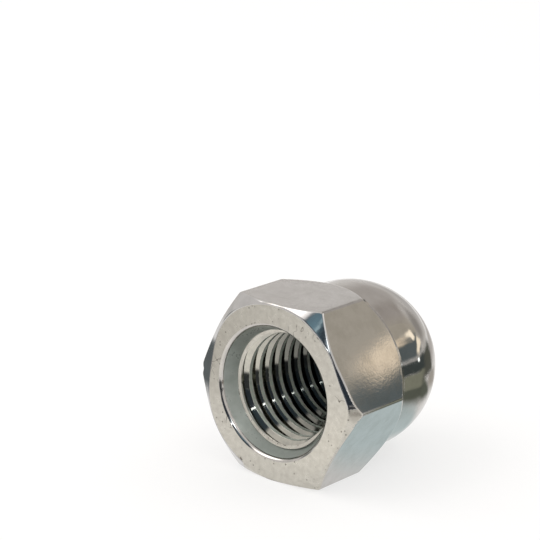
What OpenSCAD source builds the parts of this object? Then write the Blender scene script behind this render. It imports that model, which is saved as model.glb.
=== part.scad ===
// High domed cap nut, M16 x 2.
// The nut lies on one flat. Its thread axis is Y: the mouth faces -Y and the dome points along +Y.
// The origin is the middle of the bearing face, and a lying nut stands on z = -across_flats / 2.
// All lengths are millimetres and all angles are degrees.

/* [Hexagon] */
// Width across the flats
across_flats = 24; // [22:0.1:30]
// Depth rounded off each sharp corner of the hexagon
corner_relief = 0.1; // [0.05:0.05:0.8]
// Length of the hexagon, from the bearing face to the foot of the dome
hexagon_length = 13; // [9:0.1:18]
// Step in from the flats to the edge of the bearing face
face_inset = 0.1; // [0.05:0.05:1]
// Slope of the chamfer round the mouth end, measured from the bearing face
mouth_chamfer_angle = 38; // [20:1:45]
// Slope of the shoulder between the flats and the dome, measured from the bearing face
shoulder_angle = 56; // [25:1:60]

/* [Dome] */
// Overall height, from the bearing face to the top of the dome
overall_height = 27.6; // [23:0.1:36]
// Step in from the flats to the side of the dome
dome_inset = 0.5; // [0.2:0.05:1.5]
// Radius of the hollow corner where the shoulder meets the dome
foot_radius = 0.3; // [0.1:0.05:0.8]

/* [Thread] */
// Nominal diameter of the thread
thread_diameter = 16; // [12:0.1:17]
// Height of the thread, from its crests out to the nominal diameter
thread_height = 0.9; // [0.5:0.05:1.5]
// Wall between the drilled point of the bore and the top of the dome
dome_wall = 2.3; // [1.5:0.1:8]
// Included angle of the drilled point at the end of the bore
drill_point_angle = 118; // [90:1:140]

/* [Mouth] */
// Step out from the nominal diameter to the outer edge of the rounded lip
lip_step = 1.2; // [0.9:0.05:1.8]
// Radius of the rounded lip
lip_radius = 0.6; // [0.2:0.05:0.9]
// Depth where the countersink meets the thread
countersink_depth = 2.5; // [1.8:0.1:4]
// Slope of the run-in from the countersink down to the thread crests, from the bearing face
run_in_angle = 30; // [20:1:45]

/* [Finish] */
// Colour of the polished steel
steel_colour = [0.76, 0.75, 0.73];

/* [Hidden] */

$fn = 128;
// How far a cutter stands out past the face that it opens
past = 1;

flat_r = across_flats / 2;
corner_r = flat_r / cos(30) - corner_relief;
face_r = flat_r - face_inset;
dome_r = flat_r - dome_inset;
thread_r = thread_diameter / 2;
bore_r = thread_r - thread_height;
lip_r = thread_r + lip_step;

// The dome is half a ball that touches the overall height
dome_centre = overall_height - dome_r;

// Where the two chamfers reach the rounded corners
mouth_chamfer_top = (corner_r - face_r) * tan(mouth_chamfer_angle);
shoulder_foot = hexagon_length - (corner_r - dome_r) * tan(shoulder_angle);

// The hollow corner is an arc that touches both the shoulder and the side of the dome
foot_rise = foot_radius * (1 - sin(shoulder_angle)) / cos(shoulder_angle);
foot_centre = [dome_r + foot_radius, hexagon_length + foot_rise];
foot_touch = foot_centre - foot_radius * [sin(shoulder_angle), cos(shoulder_angle)];

// The dome's side runs up to the ball, or to the hollow corner if a low dome starts below it
side_top = max(dome_centre, foot_centre[1]);

// The bore stops short of the dome by the dome's wall and its own drilled point
drill_point_height = bore_r / tan(drill_point_angle / 2);
bore_depth = overall_height - dome_wall - drill_point_height;

// The countersink is the cone from the edge of the thread that touches the rounded lip
lip_centre = [lip_r, lip_radius];
thread_edge = [thread_r, countersink_depth];
lip_offset = lip_centre - thread_edge;
lip_distance = norm(lip_offset);
touch_length = sqrt(lip_distance * lip_distance - lip_radius * lip_radius);
touch_angle = atan2(lip_offset[1], lip_offset[0]) - asin(lip_radius / lip_distance);
lip_touch = thread_edge + touch_length * [cos(touch_angle), sin(touch_angle)];
run_in_depth = countersink_depth + thread_height * tan(run_in_angle);

// Hexagonal bar over the full height, with corners on the X axis
module hexagon_bar() {
    cylinder(h = overall_height, r = flat_r / cos(30), $fn = 6);
}

// Half outline of the turned blank: both chamfers, the rounded corners and the dome
module blank_outline() {
    difference() {
        polygon([
            [0, 0],
            [face_r, 0],
            [corner_r, mouth_chamfer_top],
            [corner_r, shoulder_foot],
            foot_touch,
            foot_centre,
            [dome_r, foot_centre[1]],
            [dome_r, side_top],
            [0, side_top],
        ]);
        translate(foot_centre)
            circle(r = foot_radius);
    }
    translate([0, dome_centre])
        intersection() {
            circle(r = dome_r);
            square(dome_r);
        }
}

// Blind bore with its drilled point
module bore() {
    rotate_extrude()
        polygon([
            [0, -past],
            [bore_r, -past],
            [bore_r, bore_depth],
            [0, bore_depth + drill_point_height],
        ]);
}

// Countersink with the rounded lip, and the run-in to the thread
module mouth() {
    rotate_extrude()
        difference() {
            polygon([
                [0, -past],
                [lip_r, -past],
                lip_centre,
                lip_touch,
                thread_edge,
                [bore_r, run_in_depth],
                [0, run_in_depth],
            ]);
            translate(lip_centre)
                circle(r = lip_radius);
        }
}

// The whole nut, standing on its bearing face
module standing_nut() {
    difference() {
        intersection() {
            hexagon_bar();
            rotate_extrude()
                blank_outline();
        }
        bore();
        mouth();
    }
}

// The nut, lying on a flat with its mouth towards -Y
module cap_nut() {
    color(steel_colour)
        rotate([-90, 0, 0])
            standing_nut();
}

cap_nut();
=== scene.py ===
"""High domed cap nut in polished steel, lying on one of its six flats.

The nut is one piece: a hexagon with a chamfered mouth, a ball-ended dome and a blind threaded bore.
It is modelled in millimetres, with its axis along +Y and its mouth facing -Y, and brought to metres
at the end. A depth is measured from the bearing face along +Y. A bearing is an angle round the axis
in degrees, from +X towards +Z: the corners are at bearings 0, 60, 120 and so on.
"""

import logging
import math
from contextlib import contextmanager
from dataclasses import dataclass, field
from enum import Enum
from typing import Callable, Iterator

import bmesh
import bpy
from mathutils import Matrix, Quaternion, Vector


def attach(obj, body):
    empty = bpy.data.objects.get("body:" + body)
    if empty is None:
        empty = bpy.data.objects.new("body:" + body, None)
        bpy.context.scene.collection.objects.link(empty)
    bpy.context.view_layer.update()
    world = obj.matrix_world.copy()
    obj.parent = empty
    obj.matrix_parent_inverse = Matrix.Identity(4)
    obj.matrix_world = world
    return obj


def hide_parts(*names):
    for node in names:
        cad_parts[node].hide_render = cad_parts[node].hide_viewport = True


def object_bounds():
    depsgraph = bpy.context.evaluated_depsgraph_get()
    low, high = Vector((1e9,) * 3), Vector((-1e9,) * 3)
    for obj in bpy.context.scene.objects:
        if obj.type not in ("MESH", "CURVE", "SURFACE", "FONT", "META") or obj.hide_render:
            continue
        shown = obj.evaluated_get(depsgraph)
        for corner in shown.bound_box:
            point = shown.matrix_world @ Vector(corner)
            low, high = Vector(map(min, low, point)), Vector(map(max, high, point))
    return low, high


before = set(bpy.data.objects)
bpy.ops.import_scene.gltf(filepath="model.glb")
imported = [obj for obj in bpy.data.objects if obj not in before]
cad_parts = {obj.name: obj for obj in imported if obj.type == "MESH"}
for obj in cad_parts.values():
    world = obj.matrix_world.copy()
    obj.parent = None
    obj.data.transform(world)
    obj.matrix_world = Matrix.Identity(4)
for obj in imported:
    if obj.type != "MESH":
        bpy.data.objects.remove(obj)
CAD_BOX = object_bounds()
LOG = logging.getLogger("cap_nut")
MM = 0.001

Colour = tuple[float, float, float]
Point = tuple[float, float]  # radius and depth of a point of an outline
Corner = tuple[float, float, float]  # radius, depth and rounding of a corner of an outline

# Half the turn from one flat of the hexagon to the next
HALF_CORNER = math.radians(30)

# Points of a mesh that lie closer than this are merged, in millimetres
SWEPT_GAP = 1e-3
SPUN_GAP = 1e-4
CUT_GAP = 1e-5


class Zone(Enum):
    """A zone of the nut with a finish of its own. The value is its material slot."""

    FACE = 0
    FLATS = 1
    CHAMFER = 2
    DOME = 3
    LIP = 4
    COUNTERSINK = 5
    CREST = 6
    FLANK = 7


# ---------------------------------------------------------------- bench tools


def deselect() -> None:
    """Leaves edit mode and deselects every object."""
    if bpy.context.object and bpy.context.object.mode != "OBJECT":
        bpy.ops.object.mode_set(mode="OBJECT")
    bpy.ops.object.select_all(action="DESELECT")


def pick(obj: bpy.types.Object) -> None:
    """Makes one object the only one selected, and active.

    Args:
        obj: The object to pick.
    """
    deselect()
    obj.select_set(True)
    bpy.context.view_layer.objects.active = obj


@contextmanager
def editing(obj: bpy.types.Object, select: str = "SELECT") -> Iterator[None]:
    """Opens a mesh in edit mode for the length of a with block.

    Args:
        obj: The mesh object to edit.
        select: SELECT or DESELECT, applied to the whole mesh on the way in.

    Yields:
        Once, with the mesh open.
    """
    pick(obj)
    bpy.ops.object.mode_set(mode="EDIT")
    bpy.ops.mesh.select_mode(type="VERT")
    bpy.ops.mesh.select_all(action=select)
    try:
        yield
    finally:
        bpy.ops.object.mode_set(mode="OBJECT")


def select_edges(obj: bpy.types.Object, wanted: Callable[[bmesh.types.BMEdge], bool]) -> int:
    """Selects edges of the mesh in edit mode by a test on each.

    Args:
        obj: The mesh object, in edit mode.
        wanted: Says whether an edge is to be selected.

    Returns:
        The number of edges selected.
    """
    bpy.ops.mesh.select_mode(type="EDGE")
    mesh = bmesh.from_edit_mesh(obj.data)
    count = 0
    for edge in mesh.edges:
        chosen = wanted(edge)
        edge.select_set(chosen)
        count += chosen
    bmesh.update_edit_mesh(obj.data)
    return count


def close_up(gap: float) -> None:
    """Merges the doubles of the mesh in edit mode and turns its faces outwards.

    Args:
        gap: Distance within which two points are one, in millimetres.
    """
    bpy.ops.mesh.select_all(action="SELECT")
    bpy.ops.mesh.remove_doubles(threshold=gap)
    bpy.ops.mesh.normals_make_consistent(inside=False)


def apply(obj: bpy.types.Object, kind: str, **settings: object) -> None:
    """Adds a modifier to an object and applies it.

    Args:
        obj: The object to change.
        kind: The type of the modifier.
        settings: The modifier's own settings.
    """
    pick(obj)
    modifier = obj.modifiers.new(kind.lower(), kind)
    for key, value in settings.items():
        setattr(modifier, key, value)
    bpy.ops.object.modifier_apply(modifier=modifier.name)


def combine(obj: bpy.types.Object, tool: bpy.types.Object, operation: str) -> None:
    """Cuts or trims one solid with another, and clears the tool away.

    Args:
        obj: The solid that is kept.
        tool: The solid it is worked with.
        operation: DIFFERENCE or INTERSECT.
    """
    apply(obj, "BOOLEAN", operation=operation, solver="EXACT", object=tool)
    bpy.data.objects.remove(tool)


def rounded(corners: list[Corner], steps: int = 8) -> list[Point]:
    """Rounds the corners of an outline.

    Args:
        corners: The corners, with the rounding of each in millimetres.
        steps: Number of short lines that a rounding is made of.

    Returns:
        The points of the rounded outline.
    """
    path = [corners[0][:2]]
    for (r0, y0, _), (r1, y1, bend), (r2, y2, _) in zip(corners, corners[1:], corners[2:]):
        if bend <= 0:
            path.append((r1, y1))
            continue
        corner = Vector((r1, y1))
        back, ahead = Vector((r0 - r1, y0 - y1)), Vector((r2 - r1, y2 - y1))
        half = back.angle(ahead) / 2
        reach = bend / math.tan(half)
        first, last = corner + back.normalized() * reach, corner + ahead.normalized() * reach
        inward = (back.normalized() + ahead.normalized()).normalized()
        middle = corner + inward * (bend / math.sin(half))
        turn = math.pi - 2 * half
        for i in range(steps + 1):
            start, end = math.sin(turn * (1 - i / steps)), math.sin(turn * i / steps)
            swung = (first - middle) * start + (last - middle) * end
            path.append(tuple(middle + swung / math.sin(turn)))
    path.append(corners[-1][:2])
    return path


def draw_outline(name: str, path: list[Point]) -> bpy.types.Object:
    """Draws an open outline in the plane z = 0, point by point.

    Args:
        name: Name of the new object.
        path: The points of the outline, in millimetres.

    Returns:
        The object that holds the outline.
    """
    deselect()
    bpy.ops.mesh.primitive_plane_add(size=1, location=(0, 0, 0))
    line = bpy.context.object
    line.name = name
    with editing(line):
        bpy.ops.mesh.merge(type="CENTER")
        bpy.ops.transform.translate(value=(path[0][0], path[0][1], 0))
        for (r0, y0), (r1, y1) in zip(path, path[1:]):
            step = (r1 - r0, y1 - y0, 0)
            bpy.ops.mesh.extrude_vertices_move(TRANSFORM_OT_translate={"value": step})
    return line


# ------------------------------------------------------------------ materials


class Bench:
    """Adds and joins the nodes of one shader tree."""

    def __init__(self, tree: bpy.types.NodeTree) -> None:
        """Clears the tree and keeps it.

        Args:
            tree: The node tree of a material or of the world.
        """
        tree.nodes.clear()
        self.tree = tree

    def add(
        self, kind: str, inputs: dict[int | str, object] | None = None, **settings: object
    ) -> bpy.types.Node:
        """Adds a node.

        Args:
            kind: The node's type, without the ShaderNode that starts it.
            inputs: Values or sockets for its inputs, by name or number.
            settings: The node's own settings.

        Returns:
            The node.
        """
        node = self.tree.nodes.new("ShaderNode" + kind)
        for key, value in settings.items():
            setattr(node, key, value)
        for key, value in (inputs or {}).items():
            if isinstance(value, bpy.types.NodeSocket):
                self.tree.links.new(value, node.inputs[key])
            else:
                node.inputs[key].default_value = value
        return node

    def math(self, operation: str, a: object, b: object = 0.0) -> bpy.types.NodeSocket:
        """Works out one number from two sockets or values."""
        return self.add("Math", {0: a, 1: b}, operation=operation).outputs[0]

    def mix(self, share: object, first: object, second: object) -> bpy.types.NodeSocket:
        """Mixes the second colour into the first."""
        return self.add("Mix", {0: share, 6: first, 7: second}, data_type="RGBA").outputs[2]

    def noise(
        self, where: bpy.types.NodeSocket, size_mm: float, detail: float, rough: float = 0.5
    ) -> bpy.types.NodeSocket:
        """Adds a cloudy pattern whose patches are about size_mm across."""
        looks = {"Scale": 1 / (size_mm * MM), "Detail": detail, "Roughness": rough}
        return self.add("TexNoise", {"Vector": where, **looks}).outputs["Fac"]

    def ramp(
        self, value: object, low: float, high: float, to_low: float = 0.0, to_high: float = 1.0
    ) -> bpy.types.NodeSocket:
        """Eases a value from one range into another."""
        inputs = {0: value, 1: low, 2: high, 3: to_low, 4: to_high}
        return self.add("MapRange", inputs, interpolation_type="SMOOTHSTEP").outputs[0]

    def seen(self) -> bpy.types.NodeSocket:
        """Gives 1 where the camera sees the surface, straight or in gloss or glass, and else 0.

        Returns:
            The socket that holds it.
        """
        path = self.add("LightPath").outputs
        mirrored = self.math("MAXIMUM", path["Is Glossy Ray"], path["Is Transmission Ray"])
        return self.math("MAXIMUM", path["Is Camera Ray"], mirrored)


@dataclass(frozen=True)
class SteelPattern:
    """How the steel's patterns are drawn, the same for every finish.

    A noise runs from 0 to 1 and seldom leaves the range from 0.3 to 0.7.

    Attributes:
        dusk: Cloud noise over which the bright colour turns dusky.
        cloud_share: Share of the cloud in the roughness.
        grain_share: Share of the grain in the roughness.
        dull: Noise over which the roughness goes from its lowest to its highest.
        pit_chance: Range of chance over which a cell's pit comes in.
        pit_edge: Distance from the middle of a cell over which its pit fades away.
        mark_middle: Noise along which a scratch runs.
        mark_edge: Distance in noise from that over which a scratch fades away.
        mark_kept: Noise over which a scratch comes in, after being broken off.
        dirt_cover: How far dirt hides the steel under it.
        bore_shade_cover: How far the painted shade deep in the bore hides the steel's colour.
    """

    dusk: tuple[float, float] = (0.35, 0.7)
    cloud_share: float = 0.6
    grain_share: float = 0.4
    dull: tuple[float, float] = (0.3, 0.7)
    pit_chance: float = 0.1
    pit_edge: tuple[float, float] = (0.1, 0.3)
    mark_middle: float = 0.5
    mark_edge: tuple[float, float] = (0.002, 0.009)
    mark_kept: tuple[float, float] = (0.66, 0.7)
    dirt_cover: float = 0.8
    bore_shade_cover: float = 0.85


PATTERN = SteelPattern()


@dataclass(frozen=True)
class SteelFinish:
    """One finish of the steel. Sizes are in millimetres.

    Attributes:
        name: Name of the material.
        bright: Colour where the surface is clean.
        dusky: Colour in its cloudy patches.
        gloss: Lowest and highest roughness.
        cloud: Size of the cloudy patches.
        grain: Size of the fine grain.
        grain_height: Height of the grain.
        swell: Size of the slow waves that a press or a polishing wheel leaves.
        swell_height: Height of those waves.
        pits: Share of the small cells of the surface that hold a dark pit.
        pit_cell: Size of those cells.
        marks: Strength of the few hair-thin scratches.
        mark_path: Size of the curves that the scratches follow.
        mark_gap: Size of the patches between which the scratches are broken off.
        flaw_depth: Depth of a pit or a scratch.
        dirt: Colour of the dirt in them.
        metal: How much of the light it returns as metal does, and not as a dull coat does.
        bore_shade: Depths between which painted shade darkens it, more deeply into the bore, if
            any.
        bore_shade_colour: Colour of that painted shade where it is darkest.
    """

    name: str
    bright: Colour
    dusky: Colour
    gloss: tuple[float, float]
    cloud: float = 3.0
    grain: float = 0.25
    grain_height: float = 0.0015
    swell: float = 5.0
    swell_height: float = 0.01
    pits: float = 0.0
    pit_cell: float = 0.5
    marks: float = 0.0
    mark_path: float = 2.6
    mark_gap: float = 3.7
    flaw_depth: float = 0.01
    dirt: Colour = (0.1, 0.085, 0.07)
    metal: float = 1.0
    bore_shade: tuple[float, float] | None = None
    bore_shade_colour: Colour = (0.06, 0.065, 0.06)

    def flaws(self, bench: Bench, where: bpy.types.NodeSocket) -> list[bpy.types.NodeSocket]:
        """Makes the patterns of the pits and the scratches.

        Args:
            bench: The material's bench.
            where: Place on the nut.

        Returns:
            A socket for each kind of flaw, near 1 in the flaw and 0 outside it.
        """
        found = []
        if self.pits > 0:
            cell = bench.add("TexVoronoi", {"Vector": where, "Scale": 1 / (self.pit_cell * MM)})
            chance = bench.add("SeparateColor", {0: cell.outputs["Color"]}).outputs[0]
            chosen = bench.ramp(chance, 1 - self.pits, 1 + PATTERN.pit_chance - self.pits)
            round_pit = bench.ramp(cell.outputs["Distance"], *PATTERN.pit_edge, 1.0, 0.0)
            found.append(bench.math("MULTIPLY", chosen, round_pit))
        if self.marks > 0:
            path = bench.noise(where, self.mark_path, detail=2.0)
            aside = bench.math("ABSOLUTE", bench.math("SUBTRACT", path, PATTERN.mark_middle))
            thin = bench.ramp(aside, *PATTERN.mark_edge, self.marks, 0.0)
            kept = bench.ramp(bench.noise(where, self.mark_gap, detail=0.0), *PATTERN.mark_kept)
            found.append(bench.math("MULTIPLY", thin, kept))
        return found

    def material(self) -> bpy.types.Material:
        """Makes the material.

        Returns:
            The finished material.
        """
        steel = bpy.data.materials.new(self.name)
        steel.use_nodes = True
        bench = Bench(steel.node_tree)
        where = bench.add("TexCoord").outputs["Object"]
        cloud = bench.noise(where, self.cloud, detail=4.0, rough=0.6)
        grain = bench.noise(where, self.grain, detail=3.0, rough=0.6)
        swell = bench.noise(where, self.swell, detail=1.0, rough=0.4)
        dusk = bench.ramp(cloud, *PATTERN.dusk)
        colour = bench.mix(dusk, (*self.bright, 1), (*self.dusky, 1))
        clouded = bench.math("MULTIPLY", cloud, PATTERN.cloud_share)
        grained = bench.math("MULTIPLY", grain, PATTERN.grain_share)
        dull = bench.ramp(bench.math("ADD", clouded, grained), *PATTERN.dull, *self.gloss)
        fine = bench.math("MULTIPLY", grain, self.grain_height * MM)
        slow = bench.math("MULTIPLY", swell, self.swell_height * MM)
        height = bench.math("ADD", fine, slow)
        for flaw in self.flaws(bench, where):
            dirty = bench.math("MULTIPLY", flaw, PATTERN.dirt_cover)
            colour = bench.mix(dirty, colour, (*self.dirt, 1))
            sunk = bench.math("MULTIPLY", flaw, self.flaw_depth * MM)
            height = bench.math("SUBTRACT", height, sunk)
        # Painted shade: the colour darkens towards the deep end of the bore, standing in for the
        # shade that falls there
        if self.bore_shade:
            depth = bench.add("SeparateXYZ", {0: where}).outputs[1]
            thin, thick = self.bore_shade[0] * MM, self.bore_shade[1] * MM
            deep_shade = bench.ramp(depth, thin, thick, 0.0, PATTERN.bore_shade_cover)
            colour = bench.mix(deep_shade, colour, (*self.bore_shade_colour, 1))
        bump = bench.add("Bump", {"Height": height, "Distance": 1.0, "Strength": 1.0}).outputs[0]
        shader = bench.add(
            "BsdfPrincipled",
            {"Base Color": colour, "Metallic": self.metal, "Roughness": dull, "Normal": bump},
        )
        bench.add("OutputMaterial", {0: shader.outputs[0]})
        return steel


FINISHES = {
    Zone.FACE: SteelFinish(
        "satin_face", (0.6, 0.575, 0.515), (0.52, 0.495, 0.44), (0.26, 0.36),
        cloud=0.8, grain=0.2, grain_height=0.005, pits=0.2, marks=1.0,
    ),
    Zone.FLATS: SteelFinish(
        "drawn_flats", (0.55, 0.535, 0.515), (0.49, 0.475, 0.45), (0.09, 0.16),
        cloud=2.2, grain=0.32, grain_height=0.009, swell=4.0, swell_height=0.02, pits=0.02,
    ),
    Zone.CHAMFER: SteelFinish(
        "bright_chamfer", (0.56, 0.55, 0.54), (0.5, 0.49, 0.48), (0.06, 0.1), swell=1.5,
    ),
    Zone.DOME: SteelFinish(
        "polished_dome", (0.55, 0.53, 0.505), (0.49, 0.47, 0.44), (0.05, 0.1),
        grain_height=0.0008, swell=3.0, swell_height=0.06,
    ),
    Zone.LIP: SteelFinish(
        "rolled_lip", (0.58, 0.555, 0.53), (0.48, 0.465, 0.44), (0.08, 0.15),
        grain_height=0.002, swell=1.2, swell_height=0.006,
    ),
    Zone.COUNTERSINK: SteelFinish(
        "satin_countersink", (0.46, 0.5, 0.47), (0.38, 0.42, 0.39), (0.26, 0.36),
        cloud=2.0, grain_height=0.0005, metal=0.4,
    ),
    Zone.CREST: SteelFinish(
        "reamed_crest", (0.84, 0.91, 0.83), (0.7, 0.77, 0.69), (0.34, 0.42),
        cloud=1.0, grain=0.15, grain_height=0.001, metal=0.2,
    ),
    # The thread's flanks get painted shade that deepens further into the bore
    Zone.FLANK: SteelFinish(
        "cut_thread", (0.5, 0.485, 0.43), (0.42, 0.41, 0.37), (0.05, 0.09),
        cloud=1.0, grain=0.15, grain_height=0.0004, bore_shade=(3.0, 14.0),
    ),
}


# ------------------------------------------------------------------- the nut


@dataclass
class ThreadTap:
    """The tap that cuts the thread, as a solid of its own. Sizes are in millimetres.

    Attributes:
        pitch: Distance from one turn to the next.
        crest_radius: Radius at the crests that the tap leaves in the nut.
        root_radius: Radius at the bottom of the grooves.
        root_width: Width of the flat at the bottom of a groove.
        flank_angle: Slope of a groove's sides, from straight across the axis, in degrees.
        crest_round: Rounding of the crests' edges.
        root_round: Rounding at the bottom of the grooves.
        round_steps: Short lines in each of those roundings.
        first_crest: Depth of the first whole crest, on the -X side.
        start: Depth at which the tap begins, in front of the mouth.
        turns: Number of turns.
        steps: Facets in one turn.
    """

    pitch: float = 2.0
    crest_radius: float = 7.1
    root_radius: float = 7.98
    root_width: float = 0.4
    flank_angle: float = 30.0
    crest_round: float = 0.11
    root_round: float = 0.16
    round_steps: int = 5
    first_crest: float = 3.98
    start: float = -3.0
    turns: int = 11
    steps: int = 120

    def tooth(self) -> list[Point]:
        """Draws one turn of the tap, from the middle of one crest to the middle of the next.

        Returns:
            The points of the outline.
        """
        low, high, mid = self.crest_radius, self.root_radius, self.pitch / 2
        flank = (high - low) * math.tan(math.radians(self.flank_angle))
        root = self.root_width / 2
        corners = [
            (low, 0, 0),
            (low, mid - root - flank, self.crest_round),
            (high, mid - root, self.root_round),
            (high, mid + root, self.root_round),
            (low, mid + root + flank, self.crest_round),
            (low, self.pitch, 0),
        ]
        return rounded(corners, self.round_steps)

    def build(self) -> bpy.types.Object:
        """Sweeps the outline round the axis and closes both ends.

        Returns:
            The tap, a closed solid.
        """
        shift = self.first_crest - self.pitch * 0.5
        begin = shift - math.ceil((shift - self.start) / self.pitch) * self.pitch
        middle = begin + self.pitch * (self.turns + 1) / 2
        front, back = begin + self.pitch / 2, begin + self.pitch * (self.turns + 0.5)
        tap = draw_outline("tap", [(r, y + begin) for r, y in self.tooth()])
        apply(
            tap, "SCREW", axis="Y", angle=2 * math.pi, screw_offset=self.pitch,
            iterations=self.turns, steps=self.steps, render_steps=self.steps,
        )
        with editing(tap):
            bpy.ops.mesh.remove_doubles(threshold=SWEPT_GAP)
            for side, depth in ((-1, front), (1, back)):
                select_edges(
                    tap, lambda e: e.is_boundary and (e.verts[0].co.y - middle) * side > 0
                )
                bpy.ops.mesh.extrude_edges_move(TRANSFORM_OT_translate={"value": (0, 0, 0)})
                bpy.context.scene.cursor.location = (0, depth, 0)
                bpy.ops.mesh.merge(type="CURSOR")
            close_up(CUT_GAP)
        bpy.context.scene.cursor.location = (0, 0, 0)
        return tap


@dataclass(frozen=True)
class ZoneBorders:
    """Where one zone ends and the next begins. Lengths are in millimetres.

    Outward is how far a face looks away from the axis, and along is how far it looks towards the
    dome, both from -1 to 1.

    Attributes:
        inner_outward: Outward below which a face can be inside the mouth or the bore.
        past_bore: Depth past the bore's wall down to which a face can be inside.
        face_depth: Depth down to which a face is on the bearing face.
        chamfer_along: Along below which a face is on the mouth chamfer.
        flat_outward: Outward above which a face can be on a flat.
        flat_along: Along within which a face can be on a flat.
        flat_end: Distance short of the dome's foot at which the flats end.
        sink_margin: Distance inside the countersink's radius down to which its wall is taken.
        sink_end: Depth past the countersink's down to which its wall is taken.
        sink_along: Along above which a face is on its wall and not on the step.
        step_end: Depth past the countersink's down to which the step is taken.
        step_along: Along below which a face is on the step.
        crest_margin: Distance outside the crests' radius within which a face can be on a crest.
        crest_outward: Outward below which a face can be on a crest.
    """

    inner_outward: float = 0.35
    past_bore: float = 5.0
    face_depth: float = 0.002
    chamfer_along: float = -0.3
    flat_outward: float = 0.8
    flat_along: float = 0.06
    flat_end: float = 0.6
    sink_margin: float = 0.02
    sink_end: float = 0.7
    sink_along: float = -0.6
    step_end: float = 1.2
    step_along: float = -0.93
    crest_margin: float = 0.1
    crest_outward: float = -0.93


@dataclass
class CapNut:
    """The whole nut: hexagon, dome and threaded bore. Sizes are in millimetres and degrees.

    Attributes:
        across_flats: Width of the hexagon from flat to flat.
        corner_round: Rounding of the six long corners.
        corner_steps: Facets of that rounding.
        bar: Depths at which the hexagon bar starts and ends, well clear of the nut.
        hexagon_length: Depth at which the shoulder meets the dome.
        face_radius: Radius at which the bearing face meets the mouth chamfer.
        face_round: Rounding of the bearing face's edge.
        face_edge: Depth, and width to each side, within which a point is on that edge.
        mouth_chamfer_angle: Slope of the mouth chamfer from the bearing face.
        wide_chamfer: Bearing, extra width and spread of each place where the mouth chamfer is
            wider, or narrower if below 0.
        knocked_corner: Reach of the corner on the -X side where it has been knocked flat.
        knocked_depth: Depth to which it has been knocked.
        shoulder_angle: Slope of the shoulder from the bearing face.
        blank_margin: How far the turned blank stands out past the flats before it is trimmed.
        dome_radius: Radius of the dome, along its side and over its ball end.
        dome_steps: Short lines from the dome's side to its tip.
        overall_height: Height from the bearing face to the tip of the dome.
        foot_round: Rounding of the hollow corner where the shoulder meets the dome.
        lip: Outer radius, rounding, and first and last slope of the rolled lip round the mouth.
        lip_steps: Short lines across the lip.
        countersink: Radius at its thread end, and depth, of the countersink.
        step: Width, height and rounding of the narrow step between countersink and thread.
        step_edge: Clearance in radius and in depth within which a point belongs to that step, and
            a depth past the run-in, where such points end.
        step_join: Share of a turn over which the step's two ends are joined up.
        run_in_angle: Slope of the run-in from the step down to the bore.
        bore_radius: Radius of the drilled bore.
        bore_depth: Depth of the bore at its wall.
        drill_point: Included angle of the bore's drilled end.
        crease_round: Rounding of the creases where the hexagon is chamfered.
        crease_steps: Facets of that rounding.
        crease_angle: Angle between two faces past which their edge is a crease.
        crease_radius: Radius outside which an edge can be a crease.
        smooth_angle: Angle between two faces up to which their shading is smooth.
        plain_chamfer: Bearings between which the mouth chamfer has the bearing face's finish.
        columns: Facets round the nut.
        borders: Where its zones part.
        tap: The tap that cuts its thread.
    """

    across_flats: float = 24.0
    corner_round: float = 0.65
    corner_steps: int = 8
    bar: tuple[float, float] = (-5.0, 35.0)
    hexagon_length: float = 13.0
    face_radius: float = 11.85
    face_round: float = 0.5
    face_edge: tuple[float, float] = (0.2, 0.3)
    mouth_chamfer_angle: float = 38.0
    wide_chamfer: tuple[tuple[float, float, float], ...] = (
        (170.0, 1.15, 28.0), (24.0, 0.2, 10.0), (2.0, -0.75, 9.0), (66.0, -0.12, 10.0),
    )
    knocked_corner: float = 13.3
    knocked_depth: float = 5.0
    shoulder_angle: float = 56.0
    blank_margin: float = 2.4
    dome_radius: float = 11.5
    dome_steps: int = 44
    overall_height: float = 27.6
    foot_round: float = 0.3
    lip: tuple[float, float, float, float] = (9.2, 0.8, 24.0, 74.0)
    lip_steps: int = 10
    countersink: tuple[float, float] = (7.88, 2.35)
    step: tuple[float, float, float] = (0.05, 0.15, 0.05)
    step_edge: tuple[float, float, float] = (0.02, 0.05, 4.0)
    step_join: float = 0.12
    run_in_angle: float = 15.0
    bore_radius: float = 7.0
    bore_depth: float = 21.0
    drill_point: float = 118.0
    crease_round: float = 0.18
    crease_steps: int = 3
    crease_angle: float = 22.0
    crease_radius: float = 11.8
    smooth_angle: float = 17.0
    plain_chamfer: tuple[float, float] = (-115.0, 4.5)
    columns: int = 192
    borders: ZoneBorders = ZoneBorders()
    tap: ThreadTap = field(default_factory=ThreadTap)

    def turned_outline(self) -> list[Point]:
        """Draws what a lathe would turn, from the end of the bore round to the tip of the dome.

        Returns:
            The points of the outline.
        """
        wide = self.across_flats / 2 + self.blank_margin
        chamfer = (wide - self.face_radius) * math.tan(math.radians(self.mouth_chamfer_angle))
        sloped = (wide - self.dome_radius) * math.tan(math.radians(self.shoulder_angle))
        throat, sunk = self.countersink
        step_width, step_height, step_round = self.step
        run_in = (throat - self.bore_radius) * math.tan(math.radians(self.run_in_angle))
        point = self.bore_radius / math.tan(math.radians(self.drill_point / 2))
        centre = self.overall_height - self.dome_radius
        bore = [
            (0, self.bore_depth + point, 0),
            (self.bore_radius, self.bore_depth, 0),
            (self.bore_radius, sunk + run_in, 0),
            (throat, sunk, step_round),
            (throat + step_width, sunk - step_height, 0),
        ]
        outside = [
            (self.lip[0], 0, 0),
            (self.face_radius, 0, self.face_round),
            (wide, chamfer, 0),
            (wide, self.hexagon_length - sloped, 0),
            (self.dome_radius, self.hexagon_length, self.foot_round),
            (self.dome_radius, centre, 0),
        ]
        path = rounded(bore) + self.lip_outline() + rounded(outside)
        for i in range(1, self.dome_steps + 1):
            turn = math.pi / 2 * i / self.dome_steps
            radius = self.dome_radius * math.cos(turn) if i < self.dome_steps else 0.0
            path.append((radius, centre + self.dome_radius * math.sin(turn)))
        return path

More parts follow.
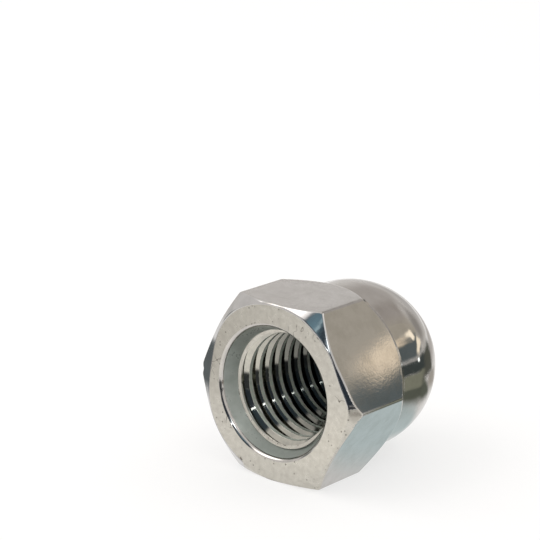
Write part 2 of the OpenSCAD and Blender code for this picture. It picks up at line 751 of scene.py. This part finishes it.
    def lip_outline(self) -> list[Point]:
        """Draws the rolled lip, from the countersink out to just short of the bearing face.

        Returns:
            The points of the outline.
        """
        outer, bend, first, last = self.lip
        top = math.radians(first)
        arc = []
        for i in range(self.lip_steps, 0, -1):
            slope = math.radians(first + (last - first) * i / self.lip_steps)
            radius = outer - bend * (math.sin(slope) - math.sin(top))
            arc.append((radius, bend * (math.cos(top) - math.cos(slope))))
        return arc

    def chamfer_push(self, bearing: float) -> float:
        """Says how much wider than usual the mouth chamfer is.

        Args:
            bearing: Bearing of the place.

        Returns:
            The extra width.
        """
        push = 0
        for place, depth, spread in self.wide_chamfer:
            away = ((bearing - place + 180) % 360) - 180
            push += depth * math.exp(-((away / spread) ** 2))
        return push

    def hand_work(self, nut: bpy.types.Object) -> None:
        """Widens the mouth chamfer in places, and lets the step follow the first groove.

        Args:
            nut: The turned blank.
        """
        throat, sunk = self.countersink
        edge_depth, edge_width = self.face_edge
        clear, above, below = self.step_edge
        for vertex in nut.data.vertices:
            x, y, z = vertex.co
            radius = math.hypot(x, z)
            bearing = math.degrees(math.atan2(z, x))
            if y < edge_depth and abs(radius - self.face_radius) < edge_width:
                push = self.chamfer_push(bearing)
                vertex.co.x, vertex.co.z = x * (1 - push / radius), z * (1 - push / radius)
            elif radius < throat + clear and sunk - above < y < below:
                turned = ((bearing + 360) % 360 - 180) / 360
                joined = min(1.0, (0.5 - abs(turned)) / self.step_join)
                vertex.co.y -= self.tap.pitch * turned * joined

    def build_bar(self) -> bpy.types.Object:
        """Makes the hexagon bar with rounded corners, two of them on the X axis.

        Returns:
            The bar, a closed solid.
        """
        deselect()
        start, end = self.bar
        across_corners = self.across_flats / math.cos(HALF_CORNER)
        bpy.ops.mesh.primitive_circle_add(
            vertices=6, radius=across_corners / 2, fill_type="NGON", location=(0, start, 0),
            rotation=(math.pi / 2, HALF_CORNER, 0),
        )
        bar = bpy.context.object
        bpy.ops.object.transform_apply(location=True, rotation=True, scale=False)
        with editing(bar):
            length = (0, end - start, 0)
            bpy.ops.mesh.extrude_region_move(TRANSFORM_OT_translate={"value": length})
            select_edges(bar, lambda e: abs(e.verts[0].co.y - e.verts[1].co.y) > 1)
            reach = self.corner_round * math.tan(HALF_CORNER)
            bpy.ops.mesh.bevel(offset=reach, segments=self.corner_steps, affect="EDGES")
            bpy.ops.mesh.select_all(action="SELECT")
            bpy.ops.mesh.normals_make_consistent(inside=False)
        return bar

    def is_crease(self, edge: bmesh.types.BMEdge) -> bool:
        """Says whether an edge is one of the creases of the hexagon.

        Args:
            edge: An edge of the trimmed blank.

        Returns:
            True if it is.
        """
        if not edge.is_manifold or edge.calc_face_angle() <= math.radians(self.crease_angle):
            return False
        place = edge.verts[0].co
        return Vector((place.x, place.z)).length > self.crease_radius

    def build(self) -> bpy.types.Object:
        """Turns, mills, smooths and taps the nut.

        Returns:
            The nut, in millimetres, with no finish yet.
        """
        nut = draw_outline("cap_nut_body", self.turned_outline())
        with editing(nut):
            bpy.ops.mesh.spin(
                steps=self.columns, angle=2 * math.pi, center=(0, 0, 0), axis=(0, 1, 0)
            )
            close_up(SPUN_GAP)
        self.hand_work(nut)
        combine(nut, self.build_bar(), "INTERSECT")
        with editing(nut, "DESELECT"):
            found = select_edges(nut, self.is_crease)
            bpy.ops.mesh.bevel(
                offset=self.crease_round, segments=self.crease_steps, affect="EDGES",
                clamp_overlap=False,
            )
            LOG.info("creases: %d edges rounded", found)
        flat = self.across_flats / 2
        for vertex in nut.data.vertices:
            vertex.co.z = max(-flat, min(flat, vertex.co.z))
            if vertex.co.y < self.knocked_depth and vertex.co.x < -self.knocked_corner:
                vertex.co.x = -self.knocked_corner
        combine(nut, self.tap.build(), "DIFFERENCE")
        with editing(nut):
            close_up(CUT_GAP)
        return nut

    def inner_zone(self, radius: float, depth: float, outward: float, along: float) -> Zone:
        """Says which zone a face inside the mouth or the bore belongs to.

        Args:
            radius: Distance of its middle from the axis.
            depth: Depth of its middle.
            outward: How far it looks away from the axis, from -1 to 1.
            along: How far it looks towards the dome, from -1 to 1.

        Returns:
            The zone.
        """
        throat, sunk = self.countersink
        at = self.borders
        if depth < max(y for _, y in self.lip_outline()):
            return Zone.LIP
        in_sink = radius > throat - at.sink_margin and depth < sunk + at.sink_end
        if in_sink and along > at.sink_along:
            return Zone.COUNTERSINK
        if depth < sunk + at.step_end and along < at.step_along:
            return Zone.FACE
        near_crest = radius < self.tap.crest_radius + at.crest_margin
        return Zone.CREST if near_crest and outward < at.crest_outward else Zone.FLANK

    def zone_of(self, face: bpy.types.MeshPolygon) -> Zone:
        """Says which zone a face belongs to, by its place and the way it looks.

        Args:
            face: A face of the nut, in millimetres.

        Returns:
            The zone.
        """
        x, y, z = face.center
        radius = math.hypot(x, z)
        outward = (face.normal.x * x + face.normal.z * z) / max(radius, 1e-6)
        along = face.normal.y
        at = self.borders
        inside = radius < self.lip[0] and y < self.bore_depth + at.past_bore
        if inside and outward < at.inner_outward:
            return self.inner_zone(radius, y, outward, along)
        if y < at.face_depth:
            return Zone.FACE
        if along < at.chamfer_along:
            first, last = self.plain_chamfer
            plain = first < math.degrees(math.atan2(z, x)) < last
            return Zone.FACE if plain else Zone.CHAMFER
        upright = outward > at.flat_outward and abs(along) < at.flat_along
        return Zone.FLATS if upright and y < self.hexagon_length - at.flat_end else Zone.DOME

    def dress(self, nut: bpy.types.Object) -> None:
        """Gives each zone its finish, smooths the shading and brings the mesh to metres.

        Args:
            nut: The mesh that build made.
        """
        nut.data.materials.clear()
        for zone in Zone:
            nut.data.materials.append(FINISHES[zone].material())
        for face in nut.data.polygons:
            face.material_index = self.zone_of(face).value
        pick(nut)
        bpy.ops.object.shade_smooth_by_angle(angle=math.radians(self.smooth_angle))
        apply(nut, "WEIGHTED_NORMAL", keep_sharp=True, weight=50, mode="FACE_AREA")
        nut.scale = (MM, MM, MM)
        pick(nut)
        bpy.ops.object.transform_apply(location=True, rotation=True, scale=True)


# ----------------------------------------------------------------- the studio


@dataclass(frozen=True)
class StudioCard:
    """A lit panel, or a card or flag that stands round the nut and faces it.

    Attributes:
        name: Name of the card.
        azimuth: Its direction from the nut, from +Y towards +X, in degrees.
        elevation: Its angle above the nut's middle, in degrees.
        distance: Distance from the nut, in metres.
        size: Width and height, in metres.
        colour: Its colour.
        level: Brightness, where 1 is white.
        fade: Share of its half size over which its edges fade away.
        lights: Whether it lights the floor as well as being seen in the metal.
        lies: Whether it lies on the floor, the further sheets over the nearer ones.
        ragged: How far its outline wanders, as a share of its size.
        turned: How far it is turned about the line to the nut, in degrees.
        lift: Height over the floor of a sheet that lies under the nut, in metres.
        rise: How much higher a sheet lies for each metre of its distance.
    """

    name: str
    azimuth: float
    elevation: float
    distance: float
    size: tuple[float, float]
    colour: Colour
    level: float
    fade: float
    lights: bool = False
    lies: bool = False
    ragged: float = 0.0
    turned: float = 0.0
    lift: float = 0.0002
    rise: float = 0.001

    def glow(self) -> bpy.types.Material:
        """Makes the card's glow, which fades away towards its edges.

        Returns:
            The material.
        """
        glow = bpy.data.materials.new(self.name)
        glow.use_nodes = True
        bench = Bench(glow.node_tree)
        where = bench.add("TexCoord").outputs["Object"]
        if self.ragged:
            noise = {"Vector": where, "Scale": 4.0, "Detail": 3.0}
            drift = bench.add("TexNoise", noise).outputs["Color"]
            centred = {0: drift, 1: (0.5, 0.5, 0.5)}
            swing = bench.add("VectorMath", centred, operation="SUBTRACT").outputs[0]
            moved = {0: swing, 1: (self.ragged,) * 3, 2: where}
            where = bench.add("VectorMath", moved, operation="MULTIPLY_ADD").outputs[0]
        at = bench.add("SeparateXYZ", {0: where})
        edge = 0.5 * (1 - self.fade)
        across = bench.ramp(bench.math("ABSOLUTE", at.outputs[0]), edge, 0.5, 1.0, 0.0)
        along = bench.ramp(bench.math("ABSOLUTE", at.outputs[1]), edge, 0.5, 1.0, 0.0)
        light = bench.add("Emission", {"Color": (*self.colour, 1), "Strength": self.level})
        clear = bench.add("BsdfTransparent")
        cover = bench.math("MULTIPLY", across, along)
        mix = bench.add("MixShader", {0: cover, 1: clear.outputs[0], 2: light.outputs[0]})
        bench.add("OutputMaterial", {0: mix.outputs[0]})
        return glow

    def build(self, aim: Vector, ground: float) -> None:
        """Stands the card in its place, or lays it down.

        Args:
            aim: The point that it faces, in metres.
            ground: Height of the floor, in metres.
        """
        az, el = math.radians(self.azimuth), math.radians(self.elevation)
        away = Vector(
            (math.sin(az) * math.cos(el), math.cos(az) * math.cos(el), math.sin(el))
        )
        roll = Quaternion((0, 0, 1), math.radians(self.turned))
        place, turn = aim + away * self.distance, (away.to_track_quat("Z", "Y") @ roll).to_euler()
        if self.lies:
            place.z, turn = ground + self.lift + self.distance * self.rise, (0, 0, -az)
        deselect()
        bpy.ops.mesh.primitive_plane_add(size=1, location=place, rotation=turn)
        card = bpy.context.object
        card.name = self.name
        card.scale = (*self.size, 1)
        card.data.materials.append(self.glow())
        card.visible_camera = False
        card.visible_shadow = False
        card.visible_diffuse = self.lights


BLACK_PAPER: Colour = (0.05, 0.055, 0.06)
CREAM_PAPER: Colour = (1.0, 0.9, 0.74)
CARDS = (
    # Dark flags and a blue sky in front of the mouth
    StudioCard("dark_flag", 158, 17, 1.2, (0.92, 1.2), (0.04, 0.052, 0.068), 1.0, 0.2),
    StudioCard("second_flag", 181, 33, 1.15, (0.72, 0.8), (0.05, 0.07, 0.09), 1.0, 0.3),
    StudioCard("blue_sky", 178, 40, 1.1, (0.4, 0.6), (0.22, 0.36, 0.44), 1.0, 0.9, ragged=0.3),
    StudioCard("blue_streak", 172, 36, 1.05, (0.05, 0.5), (0.7, 0.92, 1.0), 1.0, 0.9, ragged=0.4),
    # Panels and lights
    StudioCard("left_panel", -130, 50, 1.0, (1.1, 0.56), (1.0, 0.97, 0.95), 2.6, 0.45, True),
    StudioCard("right_panel", 65, 59, 1.0, (1.4, 0.5), (1.0, 0.99, 0.97), 1.5, 0.45, True),
    StudioCard("strip_light", 172, 17, 0.9, (0.62, 0.01), (0.92, 0.98, 1.0), 11.0, 0.3, turned=35),
    StudioCard("soft_flash", 148, 36, 0.9, (0.16, 0.2), (0.95, 0.98, 1.0), 7.0, 0.6),
    StudioCard("flash_halo", 148, 36, 0.92, (0.4, 0.4), (0.75, 0.9, 1.0), 1.4, 0.8),
    # Walls past the dome's end
    StudioCard("grey_wall", 32, 27, 0.9, (0.9, 0.6), (0.58, 0.54, 0.47), 1.0, 0.6, ragged=0.1),
    StudioCard("dusk_wall", 7, 37, 0.88, (0.7, 0.5), (0.5, 0.465, 0.44), 1.0, 0.9),
    StudioCard("low_wall", 6, 13, 0.95, (0.6, 0.5), (0.42, 0.4, 0.38), 1.0, 0.8),
    StudioCard("rear_wall", -20, 7, 0.97, (0.75, 0.4), (0.62, 0.6, 0.59), 1.0, 0.8),
    StudioCard("rim_wall", -58, 12, 0.98, (0.9, 0.9), (0.66, 0.63, 0.61), 1.0, 0.9),
    StudioCard("back_wall", -22, 30, 1.0, (0.9, 0.7), (0.6, 0.57, 0.55), 1.0, 0.8),
    # Small cards close to the dome's side
    StudioCard(
        "near_dark", 54, 16, 0.036, (0.032, 0.014), (0.145, 0.175, 0.185), 1.0, 0.5, ragged=0.2,
    ),
    StudioCard(
        "near_black", 53, 0.5, 0.0355, (0.031, 0.009), (0.075, 0.09, 0.09), 1.0, 0.5, ragged=0.25,
    ),
    StudioCard(
        "near_olive", 54, -12, 0.037, (0.03, 0.013), (0.32, 0.33, 0.26), 1.0, 0.6, ragged=0.3,
    ),
    StudioCard(
        "near_back", 31, -4, 0.041, (0.034, 0.017), (0.13, 0.135, 0.115), 1.0, 0.5, ragged=0.25,
    ),
    StudioCard(
        "near_cream", 56, 24.5, 0.0355, (0.013, 0.006), (1.0, 0.85, 0.66), 1.25, 0.7, ragged=0.5,
    ),
    StudioCard("cream_patch", 43, 25, 0.034, (0.005, 0.006), CREAM_PAPER, 1.7, 0.6, ragged=0.6),
    StudioCard(
        "cream_streak", 40.5, 14, 0.034, (0.0055, 0.012), CREAM_PAPER, 1.6, 0.6,
        ragged=0.5, turned=-58,
    ),
    StudioCard("near_glint", 48, 5, 0.034, (0.003, 0.002), (0.95, 1.0, 1.0), 3.0, 0.7, ragged=0.6),
    # Sheets on the floor round the nut, and a low wall on the -X side
    StudioCard("front_sheet", 156, 0, 0.092, (0.052, 0.1), BLACK_PAPER, 1.0, 0.16, lies=True),
    StudioCard("far_sheet", 153, 0, 0.55, (0.42, 0.95), BLACK_PAPER, 1.0, 0.08, lies=True),
    StudioCard("side_sheet", 118, 0, 0.05, (0.03, 0.04), (0.2, 0.17, 0.14), 1.0, 0.6, lies=True),
    StudioCard(
        "corner_sheet", -129, 0, 0.075, (0.075, 0.085), (0.46, 0.44, 0.41), 1.0, 0.9, lies=True,
    ),
    StudioCard("face_sheet", 176, 0, 0.034, (0.042, 0.04), (1.0, 0.98, 0.95), 1.2, 0.8, lies=True),
    StudioCard("left_wall", -104, 4, 0.3, (0.14, 0.09), (0.16, 0.18, 0.18), 1.0, 0.7, ragged=0.2),
    StudioCard(
        "left_sheet", -97, 0, 0.0635, (0.06, 0.07), (0.15, 0.17, 0.175), 1.0, 0.5,
        lies=True, ragged=0.15,
    ),
    StudioCard("rear_sheet", -18, 0, 0.13, (0.16, 0.2), (0.62, 0.59, 0.57), 1.0, 0.6, lies=True),
    StudioCard(
        "olive_sheet", 48, 0, 0.0425, (0.032, 0.048), (0.15, 0.165, 0.135), 1.0, 0.35,
        lies=True, ragged=0.12,
    ),
    StudioCard("rim_sheet", 13, 0, 0.04, (0.03, 0.034), (0.5, 0.47, 0.43), 1.0, 0.8, lies=True),
    StudioCard(
        "blue_sheet", 78, 0, 0.0155, (0.028, 0.022), (0.64, 0.75, 0.77), 1.0, 0.5, lies=True,
    ),
)


@dataclass
class Studio:
    """A pale floor inside a soft tent, with panels, cards and a camera. Sizes are in metres.

    Attributes:
        floor_size: Width of the floor.
        floor_grey: Grey of the floor's paper, which keeps the nut's shadow.
        floor_glow: Brightness added to the floor where it is seen.
        tent_radius: Radius of the tent.
        tent_cloth: Colour of the tent's cloth.
        tent_level: Brightness of the tent's cloth.
        world_level: Brightness of the world outside where it isn't seen.
        camera_turn: Azimuth of the camera from -Y towards +X, its elevation and its roll, in
            degrees.
        camera_aim: The point that it looks at, in millimetres.
        camera_distance: Its distance from that point.
        camera_lens: Its focal length, in millimetres.
        cards: The cards, in the order in which they are put up.
    """

    floor_size: float = 2.4
    floor_grey: float = 0.4
    floor_glow: float = 0.62
    tent_radius: float = 1.5
    tent_cloth: Colour = (1.0, 0.975, 0.95)
    tent_level: float = 0.84
    world_level: float = 0.7
    camera_turn: tuple[float, float, float] = (40.481, 15.825, 0.686)
    camera_aim: tuple[float, float, float] = (-3.137, 3.011, 15.264)
    camera_distance: float = 0.2523
    camera_lens: float = 130.77
    cards: tuple[StudioCard, ...] = CARDS

    def build_floor(self, height: float) -> None:
        """Lays the floor.

        Args:
            height: Height of the floor, in metres.
        """
        deselect()
        bpy.ops.mesh.primitive_plane_add(size=self.floor_size, location=(0, 0, height))
        floor = bpy.context.object
        floor.name = "floor"
        paper = bpy.data.materials.new("white_paper")
        paper.use_nodes = True
        bench = Bench(paper.node_tree)
        seen = bench.seen()
        matt = bench.add("BsdfDiffuse", {"Color": (*(self.floor_grey,) * 3, 1)})
        level = bench.math("MULTIPLY", seen, self.floor_glow)
        glow = bench.add("Emission", {"Color": (1, 1, 1, 1), "Strength": level})
        both = bench.add("AddShader", {0: matt.outputs[0], 1: glow.outputs[0]})
        bench.add("OutputMaterial", {0: both.outputs[0]})
        floor.data.materials.append(paper)

    def build_tent(self) -> None:
        """Puts up the tent, which the camera looks through."""
        deselect()
        bpy.ops.mesh.primitive_uv_sphere_add(
            segments=48, ring_count=24, radius=self.tent_radius, location=(0, 0, 0)
        )
        tent = bpy.context.object
        tent.name = "tent"
        cloth = bpy.data.materials.new("tent_cloth")
        cloth.use_nodes = True
        bench = Bench(cloth.node_tree)
        light = bench.add("Emission", {"Color": (*self.tent_cloth, 1), "Strength": self.tent_level})
        bench.add("OutputMaterial", {0: light.outputs[0]})
        cloth.cycles.emission_sampling = "NONE"
        tent.data.materials.append(cloth)
        tent.visible_camera = False
        tent.visible_shadow = False

    def build_world(self) -> None:
        """Makes the world white where it is seen, straight or in gloss or glass."""
        world = bpy.data.worlds.new("white")
        world.use_nodes = True
        bench = Bench(world.node_tree)
        level = bench.ramp(bench.seen(), 0.0, 1.0, self.world_level, 1.0)
        back = bench.add("Background", {"Color": (1, 1, 1, 1), "Strength": level})
        bench.add("OutputWorld", {0: back.outputs[0]})
        bpy.context.scene.world = world

    def build_camera(self) -> None:
        """Sets the camera, with a long lens, in front of the mouth, to one side and above."""
        az, el, roll = (math.radians(angle) for angle in self.camera_turn)
        aim = Vector(self.camera_aim) * MM
        back = Vector((math.sin(az) * math.cos(el), -math.cos(az) * math.cos(el), math.sin(el)))
        side = Vector((math.cos(az), math.sin(az), 0))
        up = back.cross(side)
        right = side * math.cos(roll) + up * math.sin(roll)
        top = back.cross(right)
        turn = Matrix((right, top, back)).transposed().to_4x4()
        lens = bpy.data.cameras.new("camera")
        lens.lens, lens.sensor_width = self.camera_lens, 36.0
        lens.clip_start, lens.clip_end = 0.01, 20.0
        camera = bpy.data.objects.new("camera", lens)
        camera.matrix_world = Matrix.Translation(aim + back * self.camera_distance) @ turn
        bpy.context.scene.collection.objects.link(camera)
        bpy.context.scene.camera = camera

    def build(self, ground: float, aim: Vector) -> None:
        """Builds the whole studio.

        Args:
            ground: Height of the floor, in metres.
            aim: The point that the cards face, in metres.
        """
        self.build_world()
        self.build_floor(ground)
        self.build_tent()
        for card in self.cards:
            card.build(aim, ground)
        self.build_camera()
        bpy.context.scene.view_settings.view_transform = "Standard"
        LOG.info("studio: floor, tent and %d cards", len(self.cards))


def report(nut: bpy.types.Object) -> None:
    """Counts the nut's faces and open edges, and measures its volume.

    Args:
        nut: The finished nut, in metres.
    """
    check = bmesh.new()
    check.from_mesh(nut.data)
    LOG.info(
        "nut: %d faces, %d triangles, %d open edges, %.1f cubic mm",
        len(check.faces),
        sum(len(face.verts) - 2 for face in check.faces),
        sum(not edge.is_manifold for edge in check.edges),
        check.calc_volume() / MM**3,
    )
    check.free()


def main() -> None:
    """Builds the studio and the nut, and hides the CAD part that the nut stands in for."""
    logging.basicConfig(level=logging.INFO, format="%(name)s: %(message)s")
    low, high = CAD_BOX
    Studio().build(low[2], (Vector(low) + Vector(high)) / 2)
    maker = CapNut()
    nut = maker.build()
    maker.dress(nut)
    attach(nut, "root")
    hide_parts("cap_nut")
    report(nut)


if __name__ == "__main__":
    main()
